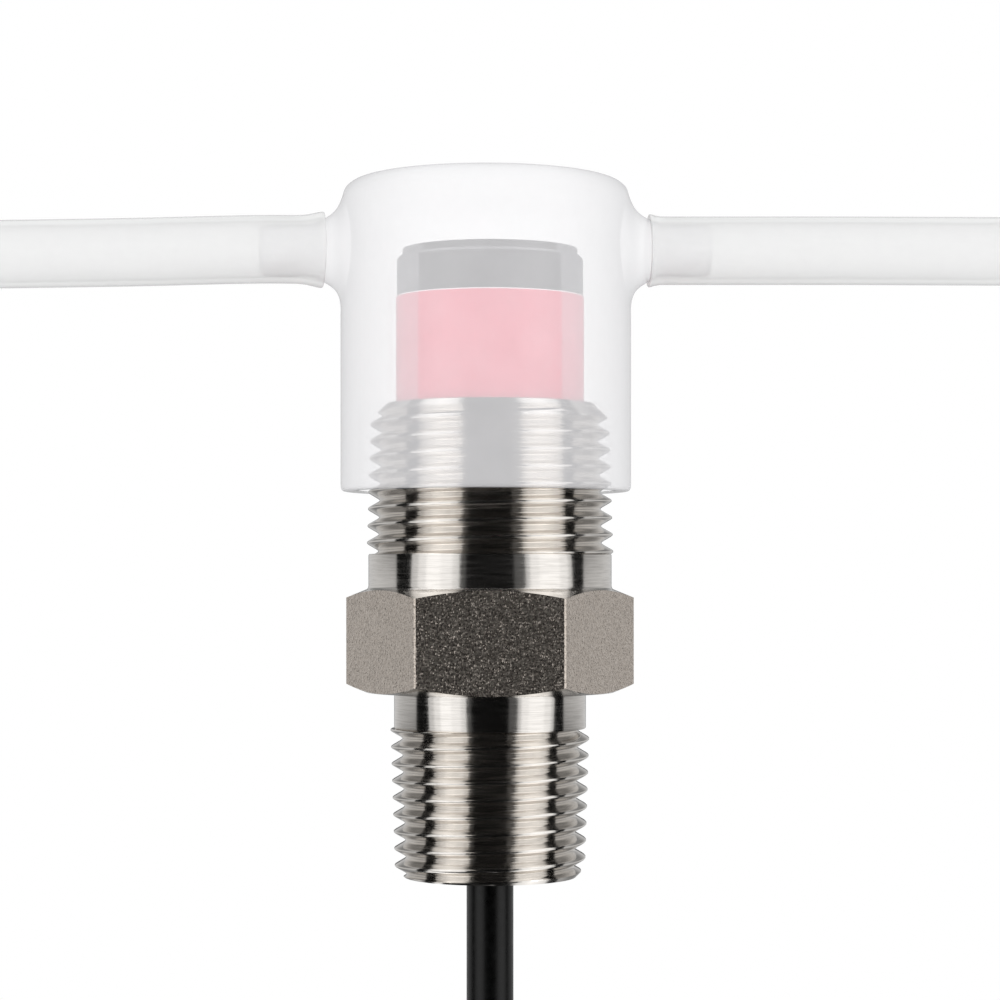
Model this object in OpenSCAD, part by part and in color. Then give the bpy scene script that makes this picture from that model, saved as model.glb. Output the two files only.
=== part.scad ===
// Inline gas probe: a reducing hex nipple that holds a galvanic oxygen cell, with a push-on
// silicone flow cap, two short hoses and a cable. Millimetres. The origin is on the axis at the
// underside of the hexagon, +Z points to the sensing end and the two hose ports lie along X.

/* [Hexagon] */
// Width across the flats of the hexagon
hex_flats = 26.9; // [26:0.1:32]
// Diameter that the corners of the hexagon are turned to
hex_corners = 30.9; // [29:0.1:34]
// Height of the hexagon
hex_height = 11; // [8:0.5:16]
// Slope of the chamfers on the hexagon, in degrees
hex_chamfer = 22; // [15:1:35]

/* [Threads] */
// Pitch of both pipe threads, 14 to the inch
thread_pitch = 1.814; // [1.4:0.001:2.2]
// Height of a thread ridge from root to crest
thread_depth = 1.25; // [0.8:0.05:1.3]
// Width of the flat on a thread crest
thread_crest = 0.23; // [0.1:0.01:0.3]
// Loss of diameter for each unit of length of a pipe thread
thread_taper = 0.0625; // [0.05:0.0025:0.08]
// Crest diameter of the upper thread next to its neck
upper_thread_d = 26.5; // [26:0.1:27]
// Length of the upper thread
upper_thread_l = 16.1; // [14:0.1:20]
// Diameter of the upper end face
upper_rim_d = 22.3; // [21.6:0.1:23]
// Crest diameter of the lower thread next to its neck
lower_thread_d = 21.4; // [20.5:0.1:22]
// Length of the lower thread
lower_thread_l = 15.9; // [12:0.1:20]
// Diameter of the lower end face
lower_rim_d = 18.5; // [17.5:0.1:19]

/* [Necks and bores] */
// Diameter of the upper neck
upper_neck_d = 26.1; // [25:0.1:26.8]
// Length of the upper neck
upper_neck_l = 3.8; // [2:0.1:6]
// Diameter of the lower neck
lower_neck_d = 20.6; // [20:0.1:22]
// Length of the lower neck
lower_neck_l = 3.9; // [2:0.1:6]
// Diameter of the cable bore through the lower half
cable_bore_d = 14.2; // [12:0.1:15]
// Height of the floor of the sensor socket above the underside of the hexagon
socket_floor_z = 3; // [2:0.5:5]
// Clearance all round a piece that slips into a bore
slip = 0.15; // [0.1:0.01:0.2]

/* [Sensor] */
// Outside diameter of the sensor
sensor_d = 20; // [19.6:0.1:20.2]
// Wall of the sensor housing
housing_wall = 1.6; // [1.4:0.1:1.8]
// Thickness of the floor of the sensor housing
housing_floor = 1.5; // [1:0.1:2.5]
// Height of the sensor's shoulder above the rim of the nipple
sensor_rise = 15.8; // [12:0.1:18]
// Height of the sensor top cap, from its lower edge to the shoulder
top_cap_h = 3.9; // [3:0.1:5]
// Diameter of the raised disc on top of the sensor
lip_d = 18.8; // [17:0.1:19.2]
// Height of the raised disc on top of the sensor
lip_h = 0.8; // [0.4:0.1:1.5]
// Bevel of the sensor's shoulder
shoulder_bevel = 0.3; // [0.1:0.05:0.5]
// Diameter of one gas inlet hole
gas_hole_d = 1.8; // [1:0.1:2.4]
// Radius of the ring of gas inlet holes
gas_hole_ring = 3.6; // [2.8:0.1:4.2]
// Height of the label band
label_h = 11.4; // [8:0.1:11.5]
// Thickness of the label band
label_t = 0.1; // [0.05:0.01:0.15]
// Gap between the rim of the nipple and the label band
label_gap = 0.1; // [0:0.05:1]

/* [Oxygen cell] */
// Wall of the electrolyte cup
cup_wall = 1.2; // [1:0.1:1.6]
// Thickness of the floor of the electrolyte cup
cup_floor = 2; // [1.5:0.1:3]
// Height of the lead anode
anode_h = 14; // [10:0.5:16]
// Thickness of the perforated disc that carries the cathode
support_h = 2; // [1.5:0.1:3]
// Thickness of the separator under the cathode
separator_t = 0.5; // [0.3:0.1:0.8]
// Diameter of the gold cathode
cathode_d = 12; // [10:0.1:13]
// Thickness of the gold cathode
cathode_t = 0.3; // [0.2:0.05:0.5]
// Thickness of the gas membrane
membrane_t = 0.3; // [0.1:0.05:0.5]
// Cord thickness of the ring that presses the membrane
membrane_ring_t = 1; // [0.8:0.1:1.3]

/* [Circuit] */
// Height of the posts under the circuit board
post_h = 2.5; // [1.5:0.1:4]
// Thickness of the circuit board
board_t = 1.6; // [1:0.1:2]
// Gap between the board and the electrolyte cup
board_gap = 4; // [3:0.5:6]
// Diameter of a contact pin of the cell
pin_d = 1; // [0.6:0.1:1.4]
// Radius of the circle of contact pins
pin_ring = 5; // [4:0.1:6]

/* [Flow cap] */
// Outside diameter of the flow cap
cap_d = 31.2; // [30:0.1:34]
// Length of the skirt below the rim of the nipple
cap_skirt = 9.4; // [6:0.1:12]
// Height of the cap's top above the rim of the nipple
cap_rise = 24; // [23.4:0.1:27]
// Radius of the cap's upper edge
cap_edge = 1.6; // [1:0.1:4]
// Rise of the crown in the middle of the cap's top
cap_crown = 0.1; // [0.1:0.1:1]
// Radius of the cap's lower edge
skirt_edge = 0.4; // [0.2:0.1:0.8]
// Clearance all round between the cap and what stands in it
cap_clearance = 0.5; // [0.4:0.05:0.6]
// Height of the flow chamber over the sensor
chamber_h = 4.4; // [4.2:0.1:4.8]

/* [Ports and hoses] */
// Outside diameter of a port at its root
port_root_d = 7; // [6.8:0.1:7.2]
// Loss of a port's diameter from the end of its hose to its tip
port_taper = 0.3; // [0.2:0.05:0.6]
// Distance of a port's tip from the cap's axis
port_reach = 24.2; // [23:0.1:27]
// Diameter of the passage through a port
port_bore_d = 3.8; // [3:0.1:4]
// Radius of the fillet between a port and the cap
port_fillet = 2; // [1.5:0.1:2]
// Outside diameter of a hose
hose_d = 7.3; // [7:0.1:8]
// Wall of a hose
hose_wall = 0.62; // [0.5:0.01:0.7]
// How far the lip of a hose is wider than the hose, on diameter
hose_flare = 0.6; // [0.4:0.1:1]
// Length of the widened lip of a hose
hose_flare_l = 1.6; // [1:0.1:3]
// Gap between the end of a hose and the wall of the cap
hose_stop = 1.9; // [1.9:0.1:3]

/* [Cable] */
// Diameter of the cable
cable_d = 5.04; // [4.6:0.02:5.2]
// Length of the rubber grommet in the cable bore
grommet_h = 5; // [3:0.5:7]
// Depth of the grommet inside the lower end face
grommet_recess = 0.5; // [0.2:0.1:1.5]
// Height of the resin plug above the grommet
resin_h = 4.5; // [3:0.5:8]
// Diameter of an insulated conductor
lead_d = 1.2; // [1:0.1:1.3]
// Diameter of a bare conductor
strand_d = 0.7; // [0.4:0.1:0.9]

/* [Hidden] */
$fn = 72;
tiny = 0.01;

// Heights of the nipple's steps
upper_neck_z = hex_height + upper_neck_l;
rim_z = upper_neck_z + upper_thread_l;
lower_end_z = -lower_neck_l - lower_thread_l;
socket_d = sensor_d + 2 * slip;

// Heights inside the sensor, from the floor of the socket up
shoulder_z = rim_z + sensor_rise;
sensor_top_z = shoulder_z + lip_h;
housing_top_z = shoulder_z - top_cap_h;
cell_d = sensor_d - 2 * housing_wall;
board_z = socket_floor_z + housing_floor + post_h;
cup_z = board_z + board_t + board_gap;
top_cap_wall = 1.1;
ceiling_t = 1.6;
ceiling_z = sensor_top_z - ceiling_t;
membrane_z = ceiling_z - membrane_ring_t - membrane_t;
cup_d = cell_d - 2 * slip;
cup_inner_d = cup_d - 2 * cup_wall;
stack_d = cup_inner_d - 2 * slip;
cathode_z = membrane_z - cathode_t;
separator_z = cathode_z - separator_t;
support_z = separator_z - support_h;
anode_z = cup_z + cup_floor;
wick_z = anode_z + anode_h;
spigot_d = sensor_d - 2 * top_cap_wall - 2 * slip;
spigot_h = 2;
seal_t = 1.2;
seal_z = rim_z - 6;
groove_w = 1.8;

// Heights of the flow cap
cap_z = rim_z - cap_skirt;
cap_top_z = rim_z + cap_rise;
chamber_z = sensor_top_z + chamber_h;
port_z = sensor_top_z - 0.1;
cap_socket_d = upper_thread_d + 2 * cap_clearance;
cap_bore_d = sensor_d + 2 * label_t + 2 * cap_clearance;
// The cap is pushed on by hand and leans against one side of the thread
cap_shift = -0.9 * cap_clearance;

// Heights in the cable bore
grommet_z = lower_end_z + grommet_recess;
resin_z = grommet_z + grommet_h;
cable_top_z = resin_z + resin_h + 0.5;
cable_hole_d = cable_d + 0.1;
bore_plug_d = cable_bore_d - 2 * 0.1;

// The hoses: straight over the ports, then a gentle fall, more of it on the left
hose_slip = 0.12;
hose_start = cap_d / 2 + hose_stop;
port_plug_d = hose_d - 2 * hose_wall - 2 * hose_slip;
inlet_route = [[-25, 0, 0.15], [-38, 0, -0.15], [-51, 0, -0.35], [-64, 0, -0.5]];
outlet_route = [[25, 0, 0], [38, 0, 0], [51, 0, -0.05], [64, 0, -0.1]];
hose_sides = 24;

// The hank: a racetrack that hangs beside the cable, with three and a half turns in it, two
// lanes side by side and two layers deep. The cable comes in and goes out on its outer lane.
hank_top_z = -61.5;
hank_bottom_z = -146.5;
hank_x = -21;
lane_step = 5.3;
hank_outer_r = -hank_x + cable_d / 2;
hank_inner_r = -hank_x - lane_step - cable_d / 2;
hank_depth = lane_step + cable_d;
hank_y = -lane_step / 2;
hank_lead_z = hank_top_z + hank_outer_r;
tail_y = -lane_step;
tail_z = -172;
cable_sides = 10;
cable_route = [[0, 0, cable_top_z], [0, 0, -14], [0, 0, -20], [0, 0, -29], [0, 0, hank_lead_z]];
tie_z = -106;
tie_h = 5;
tie_t = 1;
tie_gap = 0.3;
tie_corner = 0.6;

// The five conductors stand in a ring in the end of the cable
lead_ring = 1.4;
lead_count = 5;
lead_end_z = tail_z - 39;
tip_end_z = lead_end_z - 6;
sleeve_z = tail_z - 4;
sleeve_top_z = tail_z + 4;
sleeve_d = 6;

function lead_place(i) = [lead_ring * cos(90 + 360 * i / lead_count),
    lead_ring * sin(90 + 360 * i / lead_count)];

// Half profile of a pipe thread. d is the crest diameter at the neck, u the way from the neck.
function crest_r(d, u) = d / 2 - u * thread_taper / 2;
function thread_profile(d, length) =
    let (flank = thread_depth * tan(30),
        root = max(0.05, thread_pitch - thread_crest - 2 * flank),
        count = floor(length / thread_pitch))
    concat(
        [for (i = [0:count - 1], k = [0:3])
            let (u = i * thread_pitch + [0, root, root + flank, root + flank + thread_crest][k],
                low = k < 2 ? thread_depth : 0)
            [crest_r(d, u) - low, u]],
        [[crest_r(d, count * thread_pitch) - thread_depth, count * thread_pitch],
            [crest_r(d, length) - thread_depth, length]]);

// Points of an arc from angle a to angle b about a centre
function arc(centre, r, a, b, steps = 8) =
    [for (i = [0:steps]) centre + r * [cos(a + (b - a) * i / steps), sin(a + (b - a) * i / steps)]];

// A threaded end that stands on its neck and ends in a 45 degree lead chamfer
module threaded_end(neck_d, neck_l, d, length, rim_d) {
    reach = neck_l + length;
    rotate_extrude() intersection() {
        polygon(concat([[0, 0], [neck_d / 2, 0], [neck_d / 2, neck_l]],
            [for (p = thread_profile(d, length)) [p[0], p[1] + neck_l]], [[0, reach]]));
        polygon([[0, 0], [rim_d / 2 + reach, 0], [rim_d / 2, reach], [0, reach]]);
    }
}

module hexagon_block() {
    face_r = hex_flats / 2 - 0.15;
    corner_r = hex_corners / 2;
    rise = (corner_r - face_r) * tan(hex_chamfer);
    intersection() {
        cylinder(h = hex_height, d = hex_flats / cos(30), $fn = 6);
        rotate_extrude() polygon([[0, 0], [face_r, 0], [corner_r, rise],
            [corner_r, hex_height - rise], [face_r, hex_height], [0, hex_height]]);
    }
}

module hex_nipple() {
    color("silver") difference() {
        union() {
            hexagon_block();
            translate([0, 0, hex_height])
                threaded_end(upper_neck_d, upper_neck_l, upper_thread_d, upper_thread_l, upper_rim_d);
            mirror([0, 0, 1])
                threaded_end(lower_neck_d, lower_neck_l, lower_thread_d, lower_thread_l, lower_rim_d);
        }
        translate([0, 0, socket_floor_z]) cylinder(h = rim_z, d = socket_d);
        translate([0, 0, lower_end_z - 1]) cylinder(h = socket_floor_z - lower_end_z + 2, d = cable_bore_d);
    }
}

module sensor_housing() {
    inner_r = cell_d / 2;
    seal_floor_r = socket_d / 2 - seal_t;
    color("#151617") union() {
        rotate_extrude() difference() {
            translate([0, socket_floor_z]) union() {
                square([sensor_d / 2, housing_top_z - socket_floor_z]);
                square([spigot_d / 2, housing_top_z + spigot_h - socket_floor_z]);
            }
            translate([0, socket_floor_z + housing_floor]) square([inner_r, shoulder_z]);
            translate([0, socket_floor_z - 1]) square([cable_bore_d / 2 - 2, housing_floor + 2]);
            translate([seal_floor_r, seal_z - groove_w / 2]) square([sensor_d, groove_w]);
        }
        for (i = [0:2]) rotate([0, 0, 120 * i + 30])
            translate([inner_r - 1.2, 0, socket_floor_z + housing_floor - tiny])
                cylinder(h = post_h + tiny, d = 2);
    }
}

module sensor_top_cap() {
    color("#1b1c1e") difference() {
        rotate_extrude() difference() {
            polygon([[0, housing_top_z], [sensor_d / 2, housing_top_z],
                [sensor_d / 2, shoulder_z - shoulder_bevel],
                [sensor_d / 2 - shoulder_bevel, shoulder_z],
                [lip_d / 2, shoulder_z], [lip_d / 2, sensor_top_z], [0, sensor_top_z]]);
            translate([0, housing_top_z - 1])
                square([sensor_d / 2 - top_cap_wall, ceiling_z - housing_top_z + 1]);
        }
        for (i = [0:5]) rotate([0, 0, 60 * i]) translate([gas_hole_ring, 0, ceiling_z - 1])
            cylinder(h = ceiling_t + 2, d = gas_hole_d, $fn = 24);
        translate([0, 0, ceiling_z - 1]) cylinder(h = ceiling_t + 2, d = gas_hole_d, $fn = 24);
    }
}

module tube(d_out, d_in, h) {
    difference() {
        cylinder(h = h, d = d_out);
        translate([0, 0, -1]) cylinder(h = h + 2, d = d_in);
    }
}

module label_band() {
    color("#e54163") translate([0, 0, rim_z + label_gap])
        tube(sensor_d + 2 * label_t, sensor_d, label_h);
}

module round_ring(mean_d, t) {
    rotate_extrude() translate([mean_d / 2, 0]) circle(d = t, $fn = 24);
}

module housing_seal() {
    color("#202022") translate([0, 0, seal_z]) round_ring(socket_d - seal_t, seal_t - 2 * tiny);
}

module electrolyte_cup() {
    color("#d9dadb") translate([0, 0, cup_z]) difference() {
        cylinder(h = membrane_z - cup_z, d = cup_d);
        translate([0, 0, cup_floor]) cylinder(h = membrane_z, d = cup_inner_d);
        for (i = [0:1]) rotate([0, 0, 180 * i]) translate([pin_ring, 0, -1])
            cylinder(h = cup_floor + 2, d = pin_d + 2 * tiny, $fn = 24);
    }
}

module lead_anode() {
    color("#6d7074") translate([0, 0, anode_z]) tube(stack_d, stack_d / 2.5, anode_h);
}

module electrolyte_wick() {
    color("#e8e4d8") translate([0, 0, wick_z]) cylinder(h = support_z - wick_z, d = stack_d);
}

module cathode_support() {
    color("#c9ccd0") translate([0, 0, support_z]) difference() {
        cylinder(h = support_h, d = stack_d);
        for (i = [0:5]) rotate([0, 0, 60 * i + 30]) translate([cathode_d / 3, 0, -1])
            cylinder(h = support_h + 2, d = 1.5, $fn = 24);
    }
}

module separator_disc() {
    color("#f1efe9") translate([0, 0, separator_z]) cylinder(h = separator_t, d = stack_d);
}

module gold_cathode() {
    color("#d4a93a") translate([0, 0, cathode_z]) cylinder(h = cathode_t, d = cathode_d);
}

module gas_membrane() {
    color("#f7f7f4") translate([0, 0, membrane_z]) cylinder(h = membrane_t, d = cup_d);
}

module membrane_ring() {
    color("#232325") translate([0, 0, ceiling_z - membrane_ring_t / 2])
        round_ring(stack_d - membrane_ring_t, membrane_ring_t);
}

module contact_pins() {
    color("#c8a656") for (i = [0:1]) rotate([0, 0, 180 * i])
        translate([pin_ring, 0, board_z + board_t])
            cylinder(h = anode_z - board_z - board_t, d = pin_d, $fn = 24);
}

module circuit_board() {
    color("#1f6b43") translate([0, 0, board_z]) cylinder(h = board_t, d = cell_d - 2 * slip);
}

module board_chips() {
    color("#2a2b2d") translate([0, 0, board_z + board_t]) {
        translate([-2.5, 1, 0]) cube([5, 5, 0.9]);
        translate([-3, -5, 0]) cube([3, 3, 0.8]);
        translate([1, -5, 0]) cube([1.6, 3.2, 0.7]);
    }
}

module leads(indices, d, low_z, high_z) {
    for (i = indices) translate([lead_place(i)[0], lead_place(i)[1], low_z])
        cylinder(h = high_z - low_z, d = d, $fn = 24);
}

module board_wires() {
    color("#c0392b") leads([0:lead_count - 1], lead_d, cable_top_z, board_z);
}

module cable_grommet() {
    color("#1c1c1d") translate([0, 0, grommet_z]) tube(bore_plug_d, cable_hole_d, grommet_h);
}

module resin_plug() {
    color("#2c2a28") translate([0, 0, resin_z]) tube(bore_plug_d, cable_hole_d, resin_h);
}

// One hose port, turned about its own axis: filleted into the wall of the cap, and stepped down
// to a smaller tapered plug where the hose goes over it
module port_solid() {
    root_r = port_root_d / 2;
    fillet_r = min(port_fillet, hose_stop + 0.1);
    fillet_sink = 0.3;
    step_x = hose_start - 0.1;
    tip_r = (port_plug_d - port_taper) / 2;
    tip_round = 0.4;
    rotate([0, 90, 0]) rotate_extrude() polygon(concat(
        [[0, 0], [root_r + fillet_r, 0]],
        arc([root_r + fillet_r, cap_d / 2 + fillet_r - fillet_sink], fillet_r, 270, 180),
        [[root_r, step_x], [port_plug_d / 2, step_x],
            [tip_r, port_reach - tip_round], [tip_r - tip_round, port_reach], [0, port_reach]]));
}

module flow_cap() {
    r = cap_d / 2;
    flat_r = r - cap_edge;
    crown_r = (flat_r * flat_r + cap_crown * cap_crown) / (2 * cap_crown);
    crown_a = asin(flat_r / crown_r);
    color([0.93, 0.94, 0.94, 0.5]) translate([cap_shift, 0, 0]) difference() {
        union() {
            rotate_extrude() polygon(concat(
                [[0, cap_z], [r - skirt_edge, cap_z]],
                arc([r - skirt_edge, cap_z + skirt_edge], skirt_edge, 270, 360),
                arc([flat_r, cap_top_z - cap_crown - cap_edge], cap_edge, 0, 90),
                arc([0, cap_top_z - crown_r], crown_r, 90 - crown_a, 90)));
            for (a = [0, 180]) rotate([0, 0, a]) translate([0, 0, port_z]) port_solid();
        }
        translate([0, 0, cap_z - 1]) cylinder(h = cap_skirt + 1, d = cap_socket_d);
        translate([0, 0, cap_z]) cylinder(h = chamber_z - cap_z, d = cap_bore_d);
        translate([-port_reach - 1, 0, port_z]) rotate([0, 90, 0])
            cylinder(h = 2 * port_reach + 2, d = port_bore_d);
    }
}

// A ring of points about a centre, in the plane of the directions u and v
function ring(centre, r, sides, u, v) =
    [for (i = [0:sides - 1]) centre + r * (cos(360 * i / sides) * u + sin(360 * i / sides) * v)];

// Faces between one ring of points and the next, from the ring that starts at a to that at b
function band(a, b, sides) =
    [for (i = [0:sides - 1]) let (j = (i + 1) % sides) each [[a + i, b + i, b + j], [a + i, b + j, a + j]]];

// A round bar swept down a list of points, with its rings level
module swept_bar(route, d, sides) {
    count = len(route);
    points = [for (p = route) each ring(p, d / 2, sides, [1, 0, 0], [0, 1, 0])];
    polyhedron(points, concat(
        [for (k = [0:count - 2]) each band(k * sides, (k + 1) * sides, sides)],
        [[for (i = [0:sides - 1]) i]],
        [[for (i = [sides - 1:-1:0]) (count - 1) * sides + i]]));
}

// A hollow hose swept along a list of points, with its rings square to X. sizes holds an outer
// and an inner radius for each point.
module swept_hose(route, sizes, sides) {
    count = len(route);
    v = [0, 0, route[0][0] < route[count - 1][0] ? 1 : -1];
    outer = [for (k = [0:count - 1]) each ring(route[k], sizes[k][0], sides, [0, 1, 0], v)];
    inner = [for (k = [0:count - 1]) each ring(route[k], sizes[k][1], sides, [0, 1, 0], v)];
    start = count * sides;
    last = (count - 1) * sides;
    polyhedron(concat(outer, inner), concat(
        [for (k = [0:count - 2]) each band((k + 1) * sides, k * sides, sides)],
        [for (k = [0:count - 2]) each band(start + k * sides, start + (k + 1) * sides, sides)],
        band(0, start, sides), band(start + last, last, sides)));
}

module hose(side, route) {
    r = hose_d / 2;
    wide = hose_flare / 2;
    inner = r - hose_wall;
    lip = [for (k = [0:2]) [side * (hose_start + k * hose_flare_l / 2), 0, 0]];
    translate([cap_shift, 0, port_z]) swept_hose(concat(lip, route),
        concat([[r + wide, inner + wide], [r + wide / 4, inner + wide / 4], [r, inner]],
            [for (p = route) [r, inner]]), hose_sides);
}

module inlet_hose() {
    color([0.9, 0.91, 0.92, 0.5]) hose(-1, inlet_route);
}

module outlet_hose() {
    color([0.9, 0.91, 0.92, 0.5]) hose(1, outlet_route);
}

module cable() {
    color("#0c0c0d") swept_bar(cable_route, cable_d, cable_sides);
}

// A racetrack standing on edge: round ends about two centres, with straight runs between them
module racetrack(r) {
    translate([hank_x, hank_top_z]) circle(r = r);
    translate([hank_x, hank_bottom_z]) circle(r = r);
    translate([hank_x - r, hank_bottom_z]) square([2 * r, hank_top_z - hank_bottom_z]);
}

module cable_hank() {
    color("#101011") union() {
        translate([0, hank_y, 0]) rotate([90, 0, 0]) linear_extrude(hank_depth, center = true)
            difference() {
                racetrack(hank_outer_r);
                racetrack(hank_inner_r);
            }
        translate([0, 0, hank_top_z]) cylinder(h = hank_lead_z - hank_top_z, d = cable_d);
        translate([0, tail_y, tail_z]) cylinder(h = hank_bottom_z - tail_z, d = cable_d);
    }
}

module rounded_plate(w, d, r) {
    for (x = [-1, 1], y = [-1, 1]) translate([x * (w / 2 - r), y * (d / 2 - r)]) circle(r = r, $fn = 32);
    square([w, d - 2 * r], center = true);
    square([w - 2 * r, d], center = true);
}

// A ratchet tie round both sides of the hank, with its head at the front
module hank_tie() {
    w = 2 * (hank_outer_r + tie_gap);
    d = hank_depth + 2 * tie_gap;
    color("#1a1a1c") translate([hank_x, hank_y, tie_z]) {
        linear_extrude(tie_h) difference() {
            rounded_plate(w + 2 * tie_t, d + 2 * tie_t, tie_corner + tie_t);
            rounded_plate(w, d, tie_corner);
        }
        translate([-3, -d / 2 - tie_t - 3, -1]) cube([6, 3 + tie_t / 2, tie_h + 2]);
    }
}

module end_sleeve() {
    color("#141415") translate([0, tail_y, sleeve_z])
        tube(sleeve_d, cable_hole_d, sleeve_top_z - sleeve_z);
}

module lead(i) {
    translate([0, tail_y, 0]) leads([i], lead_d, lead_end_z, tail_z);
}

module lead_red() { color("#c62828") lead(0); }
module lead_black() { color("#161616") lead(1); }
module lead_white() { color("#f0f0ee") lead(2); }
module lead_green() { color("#2e8b45") lead(3); }
module lead_blue() { color("#2a58b0") lead(4); }

module lead_tips() {
    color("#c9c9c6") translate([0, tail_y, 0])
        leads([0:lead_count - 1], strand_d, tip_end_z, lead_end_z);
}

hex_nipple();
sensor_housing();
sensor_top_cap();
label_band();
housing_seal();
electrolyte_cup();
lead_anode();
electrolyte_wick();
cathode_support();
separator_disc();
gold_cathode();
gas_membrane();
membrane_ring();
contact_pins();
circuit_board();
board_chips();
board_wires();
cable_grommet();
resin_plug();
flow_cap();
inlet_hose();
outlet_hose();
cable();
cable_hank();
hank_tie();
end_sleeve();
lead_red();
lead_black();
lead_white();
lead_green();
lead_blue();
lead_tips();
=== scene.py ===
"""Inline gas probe: a stainless hex nipple, a sensor in a silicone flow cap, hoses and a cable."""
import math

import bmesh
import bpy
import numpy as np
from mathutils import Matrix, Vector


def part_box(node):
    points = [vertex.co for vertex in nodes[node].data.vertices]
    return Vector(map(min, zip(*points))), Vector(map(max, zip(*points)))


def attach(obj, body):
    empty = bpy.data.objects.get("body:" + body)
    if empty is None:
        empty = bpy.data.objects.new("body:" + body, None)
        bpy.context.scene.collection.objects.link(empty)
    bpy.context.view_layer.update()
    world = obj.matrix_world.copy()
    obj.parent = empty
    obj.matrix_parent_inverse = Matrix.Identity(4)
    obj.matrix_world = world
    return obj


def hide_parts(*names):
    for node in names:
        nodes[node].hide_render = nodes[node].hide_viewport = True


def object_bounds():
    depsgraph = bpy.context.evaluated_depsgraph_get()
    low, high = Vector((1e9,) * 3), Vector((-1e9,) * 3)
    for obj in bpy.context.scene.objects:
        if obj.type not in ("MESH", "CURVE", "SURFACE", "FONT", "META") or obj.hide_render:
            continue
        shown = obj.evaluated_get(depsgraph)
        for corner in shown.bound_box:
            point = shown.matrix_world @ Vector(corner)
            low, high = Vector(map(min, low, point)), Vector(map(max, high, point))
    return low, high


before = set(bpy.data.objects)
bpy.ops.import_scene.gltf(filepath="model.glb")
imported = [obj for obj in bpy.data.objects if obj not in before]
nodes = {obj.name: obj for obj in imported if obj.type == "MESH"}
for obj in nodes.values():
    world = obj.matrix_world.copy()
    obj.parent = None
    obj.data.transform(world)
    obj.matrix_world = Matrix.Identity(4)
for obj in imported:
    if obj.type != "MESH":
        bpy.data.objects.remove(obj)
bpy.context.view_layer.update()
MM = 0.001

# --- Camera ---------------------------------------------------------------------------------
# A long lens at eye level just above the hexagon, a little over a quarter of a metre away, and
# shifted so that the probe stands upright in the frame.
camera_data = bpy.data.cameras.new("camera")
camera_data.lens = 96.1
camera_data.sensor_width = 36.0
camera_data.shift_x = 0.010
camera_data.shift_y = 0.0764
camera_data.clip_start = 0.01
camera = bpy.data.objects.new("camera", camera_data)
camera.location = (0.0, -287.0 * MM, 12.4 * MM)
camera.rotation_euler = (math.radians(90), 0.0, 0.0)
bpy.context.scene.collection.objects.link(camera)
bpy.context.scene.camera = camera


# --- Cable ----------------------------------------------------------------------------------
# A round cable with five cores and an extruded black jacket. It leaves the rubber grommet in the
# lower end, hangs straight down, and its spare length is folded into a tied hank.
def linear(hex_colour):
    """An sRGB hex colour as linear red, green, blue and alpha."""
    parts = [int(hex_colour[i:i + 2], 16) / 255 for i in (1, 3, 5)]
    return (*[c / 12.92 if c <= 0.04045 else ((c + 0.055) / 1.055) ** 2.4 for c in parts], 1.0)


def add(tree, kind, settings=None, **sockets):
    """Adds a shader node. A socket takes a plain value or another node's output; i0 is input 0."""
    item = tree.nodes.new("ShaderNode" + kind)
    for key, value in (settings or {}).items():
        setattr(item, key, value)
    for key, value in sockets.items():
        plain = key[0] == "i" and key[1:].isdigit()
        socket = item.inputs[int(key[1:]) if plain else key.replace("_", " ")]
        if isinstance(value, bpy.types.NodeSocket):
            tree.links.new(value, socket)
        else:
            socket.default_value = value
    return item


def new_material(name):
    """An empty material, its node tree, and a function that closes it with a shader."""
    material = bpy.data.materials.new(name)
    material.use_nodes = True
    tree = material.node_tree
    tree.nodes.clear()
    output = tree.nodes.new("ShaderNodeOutputMaterial")

    def close(shader):
        tree.links.new(shader.outputs[0], output.inputs["Surface"])
    return material, tree, close


def place_mm(tree, stretch=(1, 1, 1)):
    """The place on the part in millimetres, stretched along its axes."""
    place = add(tree, "TexCoord").outputs["Object"]
    return add(tree, "Mapping", Vector=place, Scale=[1000 * s for s in stretch]).outputs[0]


def ramp(tree, value, low, high, start=0.35, end=0.65):
    """A colour between two sRGB hex colours as a value goes from start to end."""
    item = add(tree, "ValToRGB", Fac=value)
    item.color_ramp.elements[0].position = start
    item.color_ramp.elements[0].color = linear(low)
    item.color_ramp.elements[1].position = end
    item.color_ramp.elements[1].color = linear(high)
    return item.outputs["Color"]


def spread(tree, value, low, high):
    """A number from low to high as a noise value goes from 0.3 to 0.7."""
    return add(tree, "MapRange", i0=value, i1=0.3, i2=0.7, i3=low, i4=high).outputs[0]


def extruded_jacket(name, dark, light, roughness):
    """Extruded flexible jacket: a satin skin with faint streaks along it and a soft die texture."""
    material, tree, close = new_material(name)
    grain = add(tree, "TexNoise", Vector=place_mm(tree), Scale=1.2, Detail=4.0)
    fine = add(tree, "TexNoise", Vector=place_mm(tree, (1, 1, 0.25)), Scale=5.0, Detail=3.0)
    bump = add(tree, "Bump", Strength=0.12, Distance=0.02 * MM, Height=fine.outputs["Fac"])
    close(add(tree, "BsdfPrincipled", Base_Color=ramp(tree, grain.outputs["Fac"], dark, light),
              Roughness=spread(tree, grain.outputs["Fac"], roughness - 0.04, roughness + 0.06),
              IOR=1.38, Normal=bump.outputs[0]))
    return material


def make_piece(name, vertices, faces, material, body, slot, smooth=math.radians(35)):
    """A mesh piece in metres that rides on a body and takes the material given. Its slot is not
    used.
    """
    mesh = bpy.data.meshes.new(name)
    mesh.from_pydata([tuple(map(float, v)) for v in vertices], [], faces)
    mesh.validate()
    mesh.shade_smooth()
    if smooth:
        mesh.set_sharp_from_angle(angle=smooth)
    piece = bpy.data.objects.new(name, mesh)
    bpy.context.scene.collection.objects.link(piece)
    mesh.materials.append(material)
    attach(piece, body)
    return piece


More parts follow.
